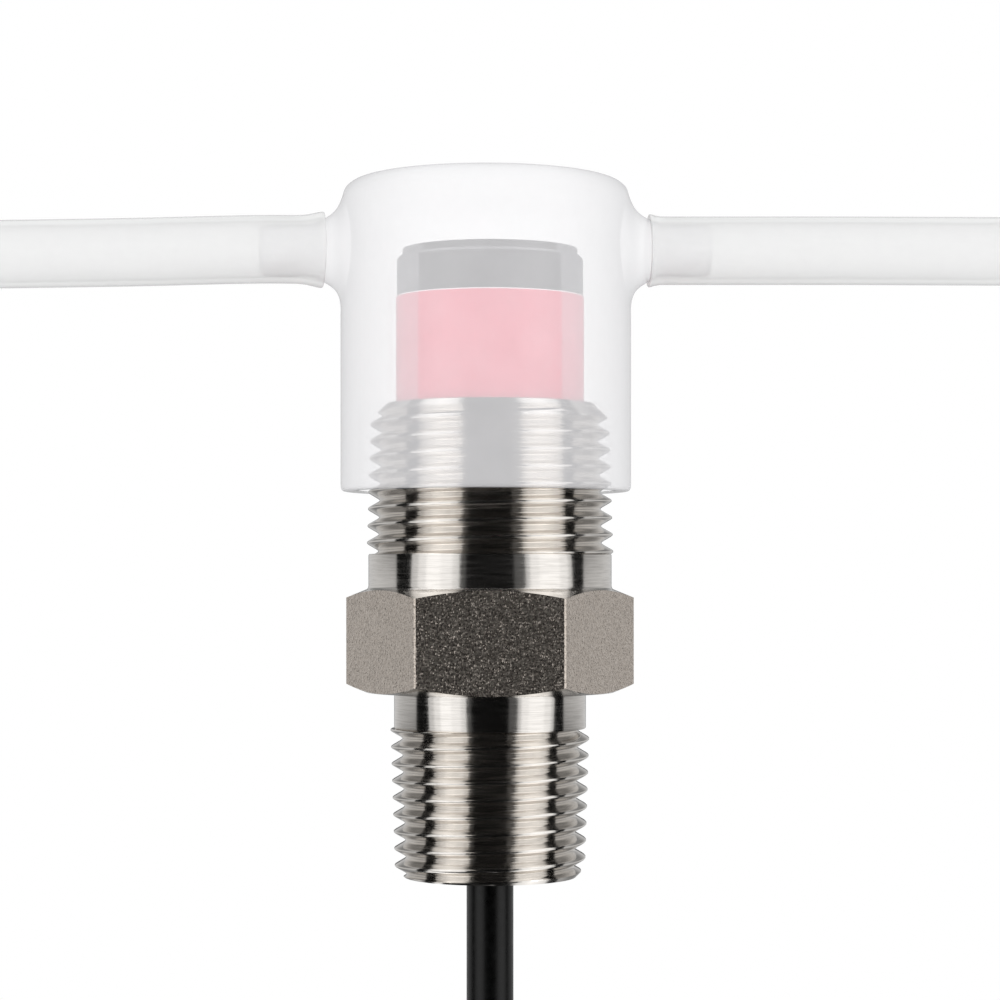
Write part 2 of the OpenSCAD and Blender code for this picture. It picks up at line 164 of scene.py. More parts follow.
def swept(line, radius, sides, inner=None):
    """Vertices and faces of a round tube along a line. radius and inner hold one value a point."""
    line = np.asarray(line, float)
    count = len(line)
    ahead = np.gradient(line, axis=0)
    ahead /= np.linalg.norm(ahead, axis=1)[:, None]
    side = np.cross(ahead[0], [0.0, 1.0, 0.0] if abs(ahead[0][1]) < 0.9 else [1.0, 0.0, 0.0])
    rings = []
    for point, way in zip(line, ahead):
        side = side - way * side.dot(way)
        side /= np.linalg.norm(side)
        rings.append((point, side.copy(), np.cross(way, side)))
    turn = np.arange(sides) * 2 * math.pi / sides

    def skin(sizes):
        return [p + r * (math.cos(t) * u + math.sin(t) * v)
                for (p, u, v), r in zip(rings, sizes) for t in turn]

    def band(a, b):
        return [(a + i, a + (i + 1) % sides, b + (i + 1) % sides, b + i) for i in range(sides)]

    vertices = skin(np.broadcast_to(radius, count))
    faces = [f for k in range(count - 1) for f in band(k * sides, (k + 1) * sides)]
    last = (count - 1) * sides
    if inner is None:
        faces += [tuple(reversed(range(sides))), tuple(last + i for i in range(sides))]
    else:
        start = len(vertices)
        vertices += skin(np.broadcast_to(inner, count))
        faces += [f for k in range(count - 1)
                  for f in band(start + (k + 1) * sides, start + k * sides)]
        faces += band(start, 0) + band(last, start + last)
    return vertices, faces


cable_d = 5.04 * MM
nipple_low, nipple_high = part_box("hex_nipple")
hank_low_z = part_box("cable_hank")[0].z
hank_x = -21.0 * MM
run_top_z, run_bottom_z = -61.5 * MM, -146.5 * MM
lane = 5.3 * MM
outer_lane, inner_lane = 21.0 * MM, 15.7 * MM
tail_y = -lane
smoothing_passes = 3
top_steps, run_steps, bend_steps, tail_steps = 18, 28, 20, 36


def eased(t):
    """Goes from 0 to 1 with a soft start and end."""
    t = min(max(t, 0.0), 1.0)
    return t * t * (3 - 2 * t)


def cable_line():
    """The middle of the cable: straight down, three turns of the hank, and a long tail."""
    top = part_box("cable")[1].z

    def late(t):
        return eased(2 * t - 1)

    def early(t):
        return 1 - (1 - t) ** 3

    laps = [(outer_lane, inner_lane, 0.0, 0.0, late), (inner_lane, inner_lane, 0.0, tail_y, eased),
            (inner_lane, outer_lane, tail_y, tail_y, early)]
    points = [(0.0, 0.0, top + (run_top_z - top) * k / top_steps) for k in range(top_steps + 1)]
    bend = np.linspace(0, math.pi, bend_steps + 1)
    for r, next_r, y, next_y, change in laps:
        points += [(hank_x + r, y, run_top_z + (run_bottom_z - run_top_z) * i / run_steps)
                   for i in range(1, run_steps)]
        points += [(hank_x + r * math.cos(a), y, run_bottom_z - r * math.sin(a)) for a in bend]
        points += [(hank_x - r, y, run_bottom_z + (run_top_z - run_bottom_z) * i / run_steps)
                   for i in range(1, run_steps)]
        for a in bend:
            t = a / math.pi
            radius = r + (next_r - r) * change(t)
            points.append((hank_x - radius * math.cos(a), y + (next_y - y) * eased(t),
                           run_top_z + radius * math.sin(a)))
    points += [(0.0, tail_y, run_top_z + (hank_low_z - run_top_z) * i / tail_steps)
               for i in range(1, tail_steps + 1)]
    line = np.array(points)
    for _ in range(smoothing_passes):
        line[1:-1] = (line[:-2] + 2 * line[1:-1] + line[2:]) / 4
    return [tuple(p) for p in line]


cable_points = cable_line()
jacket_black = extruded_jacket("extruded_black_jacket", "#020202", "#050505", 0.3)
cable = make_piece("cable_run", *swept(cable_points, cable_d / 2, 40), jacket_black, "probe",
                   "cable_jacket", smooth=math.radians(60))
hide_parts("cable", "cable_hank")

# --- Cable end: heat-shrunk sleeve, five leads and their tinned tips ------------------------
# The jacket ends in a short shrunk sleeve. Five stranded leads in coloured insulation fan out of
# it, and each is stripped and tinned at its end.
sleeve_low, sleeve_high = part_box("end_sleeve")
sleeve_black = extruded_jacket("shrunk_polyolefin", "#101011", "#1a1a1b", 0.5)
sleeve_r, sleeve_wall, sleeve_bore_r, sleeve_steps = 2.95, 0.35, 2.3, 28
shrink, shrink_length, rim_rolls = 0.35, 1.5, (0.2 * MM, 0.15 * MM)


def sleeve_piece():
    """A shrunk tube: tight on the jacket, pulled in below its end, with rolled rims."""
    z = np.linspace(sleeve_high.z, sleeve_low.z, sleeve_steps)
    end = (z - hank_low_z) / MM
    pulled = sleeve_r - shrink * np.minimum(1, np.abs(end) / shrink_length)
    outer = np.where(end > 0, sleeve_r, pulled) * MM
    outer[0] -= rim_rolls[0]
    outer[-1] -= rim_rolls[1]
    line = [(0.0, tail_y, h) for h in z]
    return swept(line, outer, 48, inner=np.maximum(outer - sleeve_wall * MM, sleeve_bore_r * MM))


sleeve = make_piece("shrunk_end_sleeve", *sleeve_piece(), sleeve_black, "probe",
                    "sleeve_polyolefin", smooth=math.radians(50))
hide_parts("end_sleeve")

lead_colours = {"lead_red": ("#b3161c", "#c9282b", "wire_red"),
                "lead_black": ("#131314", "#1d1d1f", "wire_black"),
                "lead_white": ("#e4e4e0", "#f2f2ef", "wire_white"),
                "lead_green": ("#1f7a3a", "#2c8f49", "wire_green"),
                "lead_blue": ("#1f4a9c", "#2d5cb3", "wire_blue")}
lead_r, strand_r, strand_end_r = 0.6 * MM, 0.35 * MM, 0.2 * MM
lead_steps, strand_steps = 24, 8
fan_out, fan_sway = 2.2 * MM, 0.5 * MM


def lead_line(node, low_z):
    """A lead's middle line: out of the sleeve, then fanned out with its own slight bend."""
    low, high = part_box(node)
    x, y = (low.x + high.x) / 2, (low.y + high.y) / 2
    out = Vector((x, y - tail_y)).normalized()
    points = []
    for k in range(lead_steps + 1):
        t = k / lead_steps
        fan = fan_out * t * t + fan_sway * math.sin(2.4 * math.pi * t + 9 * out.x) * t
        points.append((x + out.x * fan, y + out.y * fan, high.z + (low_z - high.z) * t))
    return points


end_pieces = []
tip_vertices, tip_faces = [], []
tips_low, tips_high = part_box("lead_tips")
for node, (dark, light, slot) in lead_colours.items():
    insulation = extruded_jacket("pvc_" + slot, dark, light, 0.38)
    line = lead_line(node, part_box(node)[0].z)
    lead = make_piece(node + "_wire", *swept(line, lead_r, 20), insulation, "probe", slot)
    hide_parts(node)
    end_pieces.append(lead)
    way = Vector(line[-1]) - Vector(line[-2])
    way.normalize()
    strand = [Vector(line[-1]) + way * (tips_high.z - tips_low.z) * k / strand_steps
              for k in range(strand_steps + 1)]
    vertices, faces = swept(strand, [strand_r] * strand_steps + [strand_end_r], 14)
    tip_faces += [tuple(i + len(tip_vertices) for i in f) for f in faces]
    tip_vertices += vertices


def tinned_copper():
    """Stranded copper dipped in solder: bright, with the twist of the strands still showing."""
    material, tree, close = new_material("tinned_stranded_copper")
    twist = add(tree, "TexWave", {"bands_direction": "DIAGONAL"}, Vector=place_mm(tree), Scale=1.4,
                Distortion=1.0)
    bump = add(tree, "Bump", Strength=0.6, Distance=0.06 * MM, Height=twist.outputs["Fac"])
    close(add(tree, "BsdfPrincipled", Metallic=1.0,
              Base_Color=ramp(tree, twist.outputs["Fac"], "#b4b3ae", "#cfcdc8"),
              Roughness=0.28, Normal=bump.outputs[0]))
    return material


tips = make_piece("tinned_lead_tips", tip_vertices, tip_faces, tinned_copper(), "probe",
                  "tinned_copper")
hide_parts("lead_tips")
end_pieces += [tips, sleeve]

# --- Hank tie -------------------------------------------------------------------------------
# A moulded nylon strap round the waist of the hank, with its square locking head on the strap's
# outside and fine teeth along it.


def moulded_nylon():
    """Moulded black nylon: satin, with a fine spark texture from the mould."""
    material, tree, close = new_material("moulded_black_nylon")
    texture = add(tree, "TexNoise", Vector=place_mm(tree), Scale=3.0, Detail=3.0)
    teeth = add(tree, "TexWave", {"bands_direction": "X"}, Vector=place_mm(tree), Scale=0.45)
    height = add(tree, "Math", {"operation": "ADD"}, i0=texture.outputs["Fac"],
                 i1=teeth.outputs["Fac"])
    bump = add(tree, "Bump", Strength=0.4, Distance=0.05 * MM, Height=height.outputs[0])
    close(add(tree, "BsdfPrincipled",
              Base_Color=ramp(tree, texture.outputs["Fac"], "#151516", "#202022"),
              Roughness=0.45, IOR=1.53, Normal=bump.outputs[0]))
    return material


def finish_node(node, material):
    """Gives a CAD node its finish."""
    data = nodes[node].data
    data.materials.clear()
    data.materials.append(material)
    data.shade_smooth()
    data.set_sharp_from_angle(angle=math.radians(30))


finish_node("hank_tie", moulded_nylon())

# --- Hoses ----------------------------------------------------------------------------------
# Two short lengths of extruded silicone hose pushed onto the ports. Their ends are stretched
# wider over the ports, and the left one falls slightly.
port_z = 47.4 * MM
cap_x = -0.45 * MM
hose_r, hose_wall = 3.65 * MM, 0.62 * MM
hose_routes = {
    "inlet_hose": [(-17.5, 0, 0.1), (-25, 0, 0.15), (-38, 0, -0.15), (-51, 0, -0.35),
                   (-64, 0, -0.5)],
    "outlet_hose": [(17.5, 0, 0), (25, 0, 0), (38, 0, 0), (51, 0, -0.05), (64, 0, -0.1)],
}
# How much wider each hose is at its port, how far that reaches, and how skew its end is cut.
hose_lips = {"inlet_hose": (0.42 * MM, 1.5 * MM, 0.16), "outlet_hose": (0.26 * MM, 0.7 * MM, 0.05)}
hose_sides, lip_steps = 48, 8


def through(points, steps=12):
    """A smooth curve through the points."""
    points = [np.array(p, float) for p in points]
    points = [2 * points[0] - points[1], *points, 2 * points[-1] - points[-2]]
    line = []
    for a, b, c, d in zip(points, points[1:], points[2:], points[3:]):
        for t in np.arange(steps) / steps:
            line.append(0.5 * (2 * b + (c - a) * t + (2 * a - 5 * b + 4 * c - d) * t ** 2
                               + (3 * b - a - 3 * c + d) * t ** 3))
    return line + [points[-2]]


def clear_silicone(name, tint, edge, veil, edge_veil, roughness):
    """Translucent silicone: each skin lays a milky veil over what is behind, denser at the rim,
    where its colour is also painted greyer as painted shade.
    It scatters light onwards, so it veils the view more than it dims what stands inside it."""
    material, tree, close = new_material(name)
    haze = add(tree, "TexNoise", Vector=place_mm(tree), Scale=0.25, Detail=3.0)
    fine = add(tree, "TexNoise", Vector=place_mm(tree), Scale=2.2, Detail=4.0)
    rim = add(tree, "LayerWeight", Blend=0.35).outputs["Facing"]
    # From the tint to the edge colour as the skin turns away: painted shade at the rim.
    colour = add(tree, "Mix", {"data_type": "RGBA"}, i0=rim, i6=linear(tint), i7=linear(edge))
    alpha = add(tree, "MapRange", i0=rim, i1=0.0, i2=1.0, i3=veil, i4=edge_veil).outputs[0]
    cloud = spread(tree, haze.outputs["Fac"], -0.015, 0.015)
    alpha = add(tree, "Math", {"operation": "ADD", "use_clamp": True}, i0=alpha,
                i1=cloud).outputs[0]
    inside = add(tree, "NewGeometry").outputs["Backfacing"]
    through_light = add(tree, "LightPath").outputs["Is Camera Ray"]
    seen = add(tree, "MapRange", i0=through_light, i1=0.0, i2=1.0, i3=0.35, i4=1.0).outputs[0]
    near = add(tree, "MapRange", i0=inside, i1=0.0, i2=1.0, i3=1.0, i4=0.1).outputs[0]
    share = add(tree, "Math", {"operation": "MULTIPLY"}, i0=seen, i1=near).outputs[0]
    alpha = add(tree, "Math", {"operation": "MULTIPLY"}, i0=alpha, i1=share).outputs[0]
    bump = add(tree, "Bump", Strength=0.08, Distance=0.03 * MM, Height=fine.outputs["Fac"])
    close(add(tree, "BsdfPrincipled", Base_Color=colour.outputs[2], Roughness=roughness, IOR=1.41,
              Alpha=alpha, Normal=bump.outputs[0]))
    return material


# The second colour of each is painted shade at the rim: #b6b7b7 on the hose, #8e9091 in its bore.
hose_silicone = clear_silicone("extruded_silicone_hose", "#d3d3d3", "#b6b7b7", 0.5, 0.8, 0.25)
hose_bore_silicone = clear_silicone("extruded_silicone_hose_bore", "#d6d6d6", "#8e9091", 0.04, 0.5,
                                    0.25)
for node, route in hose_routes.items():
    line = through([(x * MM + cap_x, y * MM, z * MM + port_z) for x, y, z in route])
    first = np.array(line[0])
    line = [first + (line[1] - first) * t for t in np.arange(lip_steps) / lip_steps] + line[1:]
    from_end = np.abs(np.array([p[0] for p in line]) - line[0][0])
    lip_rise, lip_length, skew = hose_lips[node]
    lip = lip_rise * np.exp(-((from_end / lip_length) ** 2))
    outer = hose_r + lip
    inner = outer - hose_wall
    outer[0] -= 0.05 * MM
    vertices, faces = swept(line, outer, hose_sides, inner=inner)
    for v in vertices:
        near = math.exp(-(abs(v[0] - line[0][0]) / lip_length) ** 2)
        v[0] -= skew * v[1] * near
    hose = make_piece("silicone_" + node, vertices, faces, hose_silicone, "cap", "hose_silicone")
    hose.data.materials.append(hose_bore_silicone)
    skin = hose_sides * (len(line) - 1)
    for k, face in enumerate(hose.data.polygons):
        face.material_index = int(skin <= k < 2 * skin)
    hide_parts(node)

# --- Hex nipple -----------------------------------------------------------------------------
# A reducing nipple turned from stainless hexagon bar: a 3/4-14 taper pipe thread above, 1/2-14
# below, both right-hand and cut as true helices, with plain necks next to the hexagon.
pitch = 25.4 / 14
flank_depth = 1.25
crest_flat = 0.23
taper = 1 / 32
lower_phase, upper_phase = -5.9 - pitch, 16.0 - pitch
hex_flat_r, hex_corner_r, hex_face_r = 13.45, 15.45, 13.3
hex_h = 11.0
corner_slope = math.tan(math.radians(22))
lower_crest_r, lower_neck_r, lower_rim_r, lower_neck_z = 10.7, 10.3, 9.25, -3.9
upper_crest_r, upper_neck_r, upper_rim_r, upper_neck_z = 13.25, 13.05, 11.15, 14.8
bore_r, socket_r, socket_floor, socket_bevel = 7.1, 10.15, 3.0, 0.2
# Steps out and along: the rounded end of a neck by its thread, and the coves by the hexagon.
neck_end = [(-0.12, 0.0), (-0.04, 0.05), (0.0, 0.14)]
lower_cove = [(0.0, -0.35), (0.05, -0.17), (0.17, -0.05), (0.35, 0.0)]
upper_cove = [(0.24, 0.0), (0.15, 0.05), (0.05, 0.17), (0.0, 0.35)]
ridge_easing = (-0.09, -0.045, 0.0, 0.045, 0.09)
ridge_marks = [0.0, 0.09, 0.18, 0.27, 0.40, 0.54, 0.66, 0.75, 0.84]
columns_round, corner_columns = 144, (-1.3, -0.9, -0.45, 0.45, 0.9, 1.3)
low_z, high_z = nipple_low.z / MM, nipple_high.z / MM


def ridge(u):
    """Depth below the crest at a place u in one pitch: a 60 degree ridge with eased corners."""
    depth = 0.0
    for near in ridge_easing:
        from_crest = abs(((u + near) % pitch) - pitch / 2)
        slope = (from_crest - crest_flat / 2) / math.tan(math.radians(30))
        depth += min(max(slope, 0.0), flank_depth) / len(ridge_easing)
    return depth


def thread_rows(z_low, z_high, crest, lead, phase):
    """Rows of a right-hand thread. crest gives its radius at a height, lead caps the radius."""
    marks = ridge_marks + [pitch - m for m in reversed(ridge_marks[1:])]
    first = math.floor((z_low - phase) / pitch) - 1
    last = math.ceil((z_high - phase) / pitch)

    def row(start):
        def at(turn):
            z = min(max(phase + start + pitch * turn, z_low), z_high)
            r = crest(z) - ridge(z - phase - pitch * turn)
            return min(r, lead(z)), z
        return at
    return [row(k * pitch + m) for k in range(first, last + 1) for m in marks]


def hex_rows():
    """Rows up the side of the hexagon, with the turned chamfers above and below."""
    def side(height, sign):
        def at(turn):
            within = (turn * 360 % 60) - 30
            r = min(hex_flat_r / math.cos(math.radians(within)), hex_corner_r)
            return r, height + sign * (r - hex_face_r) * corner_slope
        return at
    edge = 0.12
    return [side(0.0, 1), side(edge, 1), side(hex_h - edge, -1), side(hex_h, -1)]


def level(r, z):
    """A plain turned edge."""
    return lambda turn: (r, z)


def nipple_piece():
    """The whole nipple as one skin, wrapped round from the cable bore over the outside."""
    columns = {k / columns_round for k in range(columns_round + 1)}
    for corner in range(7):
        columns |= {corner / 6 + d / 360 for d in corner_columns}
    columns = sorted(c for c in columns if 0 <= c <= 1)
    lower = thread_rows(low_z, lower_neck_z, lambda z: lower_crest_r + (z - lower_neck_z) * taper,
                        lambda z: lower_rim_r + (z - low_z), lower_phase)
    upper = thread_rows(upper_neck_z, high_z,
                        lambda z: upper_crest_r - (z - upper_neck_z) * taper,
                        lambda z: upper_rim_r + (high_z - z), upper_phase)
    turned = [level(bore_r, low_z), level(lower_rim_r - 0.15, low_z), *lower,
              *(level(lower_neck_r + out, lower_neck_z + up) for out, up in neck_end),
              *(level(lower_neck_r + out, up) for out, up in lower_cove)]
    flats = [level(hex_face_r, 0.0), *hex_rows(), level(hex_face_r, hex_h)]
    above = [*(level(upper_neck_r + out, hex_h + up) for out, up in upper_cove),
             *(level(upper_neck_r + out, upper_neck_z - up) for out, up in reversed(neck_end)),
             *upper, level(socket_r + socket_bevel, high_z), level(socket_r, high_z - socket_bevel),
             level(socket_r, socket_floor), level(bore_r, socket_floor)]
    rows = turned + flats + above
    vertices = []
    for row in rows:
        for column in columns:
            r, z = row(column)
            a = column * 2 * math.pi
            vertices.append((r * math.cos(a) * MM, r * math.sin(a) * MM, z * MM))
    wide = len(columns)
    faces, finish = [], []
    for k in range(len(rows)):
        a, b = k * wide, (k + 1) % len(rows) * wide
        for i in range(wide - 1):
            faces.append((a + i, a + i + 1, b + i + 1, b + i))
            finish.append(int(len(turned) < k < len(turned) + len(flats) - 2))
    return vertices, faces, finish


def turned_stainless():
    """Turned stainless steel: bright, with fine rings left by the tool."""
    material, tree, close = new_material("turned_stainless_steel")
    rings = add(tree, "TexNoise", Vector=place_mm(tree, (0.05, 0.05, 1)), Scale=6.0, Detail=5.0)
    bump = add(tree, "Bump", Strength=0.25, Distance=0.02 * MM, Height=rings.outputs["Fac"])
    close(add(tree, "BsdfPrincipled", Metallic=1.0,
              Base_Color=ramp(tree, rings.outputs["Fac"], "#d7d3ce", "#ebe7e2", 0.3, 0.6),
              Roughness=spread(tree, rings.outputs["Fac"], 0.07, 0.15), Normal=bump.outputs[0]))
    return material


def milled_stainless():
    """The bar's own hexagon faces: drawn and tumbled, so they are matt with a fine grain."""
    material, tree, close = new_material("drawn_stainless_hexagon")
    grain = add(tree, "TexNoise", Vector=place_mm(tree), Scale=4.4, Detail=1.0, Roughness=0.5)
    pits = add(tree, "TexVoronoi", {"feature": "SMOOTH_F1"}, Vector=place_mm(tree), Scale=4.0)
    height = add(tree, "Math", {"operation": "ADD"}, i0=grain.outputs["Fac"],
                 i1=pits.outputs["Distance"])
    bump = add(tree, "Bump", Strength=1.0, Distance=0.06 * MM, Height=height.outputs[0])
    close(add(tree, "BsdfPrincipled", Metallic=1.0,
              Base_Color=ramp(tree, grain.outputs["Fac"], "#c3b8ad", "#dfd5cb"),
              Roughness=spread(tree, grain.outputs["Fac"], 0.24, 0.34), Normal=bump.outputs[0]))
    return material


nipple_vertices, nipple_faces, nipple_finish = nipple_piece()
nipple_mesh = bpy.data.meshes.new("hex_nipple_turned")
nipple_mesh.from_pydata(nipple_vertices, [], nipple_faces)
nipple_mesh.materials.append(turned_stainless())
nipple_mesh.materials.append(milled_stainless())
nipple_mesh.polygons.foreach_set("material_index", nipple_finish)
nipple = bpy.data.objects.new("hex_nipple_turned", nipple_mesh)
bpy.context.scene.collection.objects.link(nipple)


def weld(mesh, distance):
    """Joins points that lie together and drops the faces that close up."""
    work = bmesh.new()
    work.from_mesh(mesh)
    bmesh.ops.remove_doubles(work, verts=work.verts, dist=distance)
    bmesh.ops.dissolve_degenerate(work, dist=distance, edges=work.edges)
    bmesh.ops.recalc_face_normals(work, faces=work.faces)
    work.to_mesh(mesh)
    work.free()


weld(nipple_mesh, 0.002 * MM)
nipple_mesh.shade_smooth()
nipple_mesh.set_sharp_from_angle(angle=math.radians(24))
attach(nipple, "probe")
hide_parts("hex_nipple")

# --- Sensor ---------------------------------------------------------------------------------
# A moulded black housing with a top cap that has the gas holes, a bare red band round it, and
# the black rubber seal that holds it in the nipple.


def moulded_plastic(name, dark, light, roughness):
    """Moulded ABS: a fine even mould texture and a low sheen."""
    material, tree, close = new_material(name)
    texture = add(tree, "TexNoise", Vector=place_mm(tree), Scale=4.0, Detail=4.0)
    cloud = add(tree, "TexNoise", Vector=place_mm(tree), Scale=0.3, Detail=2.0)
    bump = add(tree, "Bump", Strength=0.2, Distance=0.02 * MM, Height=texture.outputs["Fac"])
    close(add(tree, "BsdfPrincipled", Base_Color=ramp(tree, cloud.outputs["Fac"], dark, light),
              Roughness=spread(tree, texture.outputs["Fac"], roughness - 0.05, roughness + 0.05),
              IOR=1.53, Normal=bump.outputs[0]))
    return material


def overlaid(material, share, colour):
    """Lays a plain sRGB colour over a material's own, as far as a shader value says."""
    tree = material.node_tree
    skin = next(n for n in tree.nodes if n.type == "BSDF_PRINCIPLED")
    plain = skin.inputs["Base Color"].links[0].from_socket
    mixed = add(tree, "Mix", {"data_type": "RGBA"}, i0=share, i6=plain, i7=linear(colour))
    tree.links.new(mixed.outputs[2], skin.inputs["Base Color"])
    return material


def painted_sheen(material, sheen, share):
    """Paints a pale sheen into a smooth skin's own colour where it turns away at its sides: a
    painted reflection, which on a bright skin is also painted shade.
    """
    tree = material.node_tree
    facing = add(tree, "LayerWeight", Blend=0.5).outputs["Facing"]
    # Painted sheen: a grey laid over the skin's own colour by facing angle.
    edge_on = add(tree, "MapRange", i0=facing, i1=0.345, i2=0.37, i3=0.0, i4=share).outputs[0]
    return overlaid(material, edge_on, sheen)


# The housing's sides get #c4c4c8 as painted sheen.
black_abs = painted_sheen(moulded_plastic("moulded_black_abs", "#0e0f10", "#17181a", 0.3),
                    "#c4c4c8", 0.25)
finish_node("sensor_housing", black_abs)


def reworked_copy(node, name, modifiers, materials):
    """A copy of a CAD node after modifiers, each given as its kind and settings."""
    piece = bpy.data.objects.new(name, nodes[node].data.copy())
    bpy.context.scene.collection.objects.link(piece)
    for kind, settings in modifiers.items():
        modifier = piece.modifiers.new(kind.lower(), kind)
        for key, value in settings.items():
            setattr(modifier, key, value)
    graph = bpy.context.evaluated_depsgraph_get()
    final = bpy.data.meshes.new_from_object(piece.evaluated_get(graph))
    piece.modifiers.clear()
    piece.data = final
    final.name = name
    final.materials.clear()
    for material in materials:
        final.materials.append(material)
    final.shade_smooth()
    return piece


rounded_edges = {"BEVEL": {"width": 0.22 * MM, "segments": 3, "limit_method": "ANGLE",
                           "angle_limit": math.radians(40)}}
top_cap = reworked_copy("sensor_top_cap", "moulded_top_cap", rounded_edges, [black_abs])
top_cap.data.set_sharp_from_angle(angle=math.radians(35))
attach(top_cap, "probe")
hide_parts("sensor_top_cap")


def white_edged(material, edge_z):
    """Lays a pale band along the film's top edge, above a height in millimetres."""
    tree = material.node_tree
    place = add(tree, "SeparateXYZ", Vector=place_mm(tree)).outputs["Z"]
    bare = add(tree, "Math", {"operation": "GREATER_THAN"}, i0=place, i1=edge_z).outputs[0]
    return overlaid(material, bare, "#f0e8ea")


# The film's sides get #b4b4b8 as painted sheen: a painted reflection that also shades the red
# there.
red_film = painted_sheen(moulded_plastic("red_polyester_film", "#d83a5a", "#de4462", 0.25),
                   "#b4b4b8", 0.3)
nodes["label_band"].visible_glossy = False
film_edge = 0.09
finish_node("label_band", white_edged(red_film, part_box("label_band")[1].z / MM - film_edge))
nitrile = moulded_plastic("moulded_nitrile_rubber", "#161617", "#202021", 0.6)
for node in ("housing_seal", "membrane_ring", "cable_grommet"):
    finish_node(node, nitrile)

# --- Oxygen cell and circuit ----------------------------------------------------------------
# The pieces sealed inside the housing: electrolyte cup, lead anode, wick, cathode stack and
# membrane, and below them the contact pins, the board and its wires in cast resin.
natural_plastic = moulded_plastic("moulded_natural_acetal", "#d2d3d3", "#dfe0e0", 0.4)
felt = moulded_plastic("glass_fibre_felt", "#ddd8ca", "#ece8dc", 0.9)
finish_node("electrolyte_cup", natural_plastic)
finish_node("cathode_support", natural_plastic)
finish_node("electrolyte_wick", felt)
finish_node("separator_disc", felt)
finish_node("gas_membrane", moulded_plastic("skived_ptfe_film", "#eeeeea", "#f8f8f5", 0.35))
finish_node("circuit_board", moulded_plastic("green_solder_mask", "#14532f", "#1f6b43", 0.3))
finish_node("board_chips", moulded_plastic("moulded_epoxy_chip", "#1a1a1b", "#252527", 0.5))
finish_node("board_wires", moulded_plastic("pvc_board_wires", "#a51a1e", "#bd2a2c", 0.4))
finish_node("resin_plug", moulded_plastic("cast_black_resin", "#1a1614", "#26211e", 0.15))


def soft_metal(name, dark, light, roughness):
    """Cast or plated metal with a cloudy, slightly uneven face."""
    material, tree, close = new_material(name)
    cloud = add(tree, "TexNoise", Vector=place_mm(tree), Scale=0.8, Detail=5.0)
    bump = add(tree, "Bump", Strength=0.2, Distance=0.03 * MM, Height=cloud.outputs["Fac"])
    close(add(tree, "BsdfPrincipled", Metallic=1.0,
              Base_Color=ramp(tree, cloud.outputs["Fac"], dark, light),
              Roughness=spread(tree, cloud.outputs["Fac"], roughness - 0.06, roughness + 0.06),
              Normal=bump.outputs[0]))
    return material


finish_node("lead_anode", soft_metal("cast_lead", "#6a6e73", "#83878c", 0.5))
gold = soft_metal("gold_plate", "#d9a441", "#e8bc5c", 0.25)
finish_node("gold_cathode", gold)
finish_node("contact_pins", gold)

# --- Flow cap -------------------------------------------------------------------------------
# A thick-walled cap moulded in translucent silicone. Its skirt grips the upper thread, and its
# two ports grow out of the wall in soft fillets with no sharp line anywhere.
# a6a6a9 is painted shade at the cap's rim; the cavity's rim colour is its own tint, so it paints
# none.
cap_silicone = clear_silicone("moulded_silicone_cap", "#e7e6e8", "#a6a6a9", 0.54, 0.72, 0.42)
cavity_silicone = clear_silicone("moulded_silicone_cavity", "#e7e6e8", "#e7e6e8", 0.03, 0.05, 0.6)
cap_low, cap_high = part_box("flow_cap")
wall_r, port_r = 15.6, 3.5
made_fillet, fillet, reach = 2.0, 2.6, 4.0
made_edge, crown_edge = 1.6, 2.3
crown_z = cap_high.z / MM
passage_r, passage_end_x = 2.35, 23.9
chamber_r, skirt_bore_r, skirt_lip, roof = 13.2, 14.6, 0.15, 1.7
root_reaches, root_passes = (7.0, 6.6, 6.2), 30
root_end_x, root_inner_r, skin_depth, under_wall = 20.5, 2.3, 0.7, 0.3
soft_skin = {"REMESH": {"mode": "VOXEL", "voxel_size": 0.22 * MM},
             "SMOOTH": {"factor": 0.5, "iterations": 8}}
cap = reworked_copy("flow_cap", "silicone_flow_cap", soft_skin, [cap_silicone, cavity_silicone])


def wall_at(z, edge):
    """The wall's radius at a height, for a crown whose edge is rounded with a radius."""
    rise = max(0.0, z - (crown_z - edge))
    return wall_r - edge + math.sqrt(max(edge ** 2 - rise ** 2, 0.0))


def softened(place):
    """Moves a place on the skin to a rounder crown and to larger fillets where the ports begin."""
    x, y, z = (place - Vector((cap_x, 0.0, 0.0))) / MM
    crown = wall_at(z, crown_edge) / wall_at(z, made_edge)
    x, y = x * crown, y * crown
    beyond = abs(x) - math.sqrt(max(wall_at(z, crown_edge) ** 2 - y ** 2, 0.0))
    if -under_wall < beyond < reach and math.hypot(y, z - port_z / MM) < port_r + reach:
        r = math.hypot(y, z - port_z / MM)
        wider = grown(r - port_r) + port_r
        y, z = y * wider / r, port_z / MM + (z - port_z / MM) * wider / r
        wall = math.sqrt(max(wall_at(z, crown_edge) ** 2 - y ** 2, 0.0))
        x = math.copysign(wall + grown(beyond), x)
    return Vector((x * MM + cap_x, y * MM, z * MM))


def grown(t):
    """A length measured out from the wall or the port, stretched so that the fillet grows."""
    if t <= 0 or t >= reach:
        return t
    more = (fillet - made_fillet) * (reach - t) / (reach - made_fillet)
    return t * fillet / made_fillet if t < made_fillet else t + more


def in_cavity(place):
    """Whether a place on the cap's skin is in the socket, the chamber or a port's passage."""
    x, y, z = place / MM
    if math.hypot(y, z - port_z / MM) < passage_r and abs(x - cap_x / MM) < passage_end_x:
        return True
    wall = chamber_r if z > nipple_high.z / MM else skirt_bore_r
    return math.hypot(x - cap_x / MM, y) < wall and (
        cap_low.z / MM + skirt_lip < z < crown_z - roof)


for corner in cap.data.vertices:
    corner.co = softened(corner.co.copy())


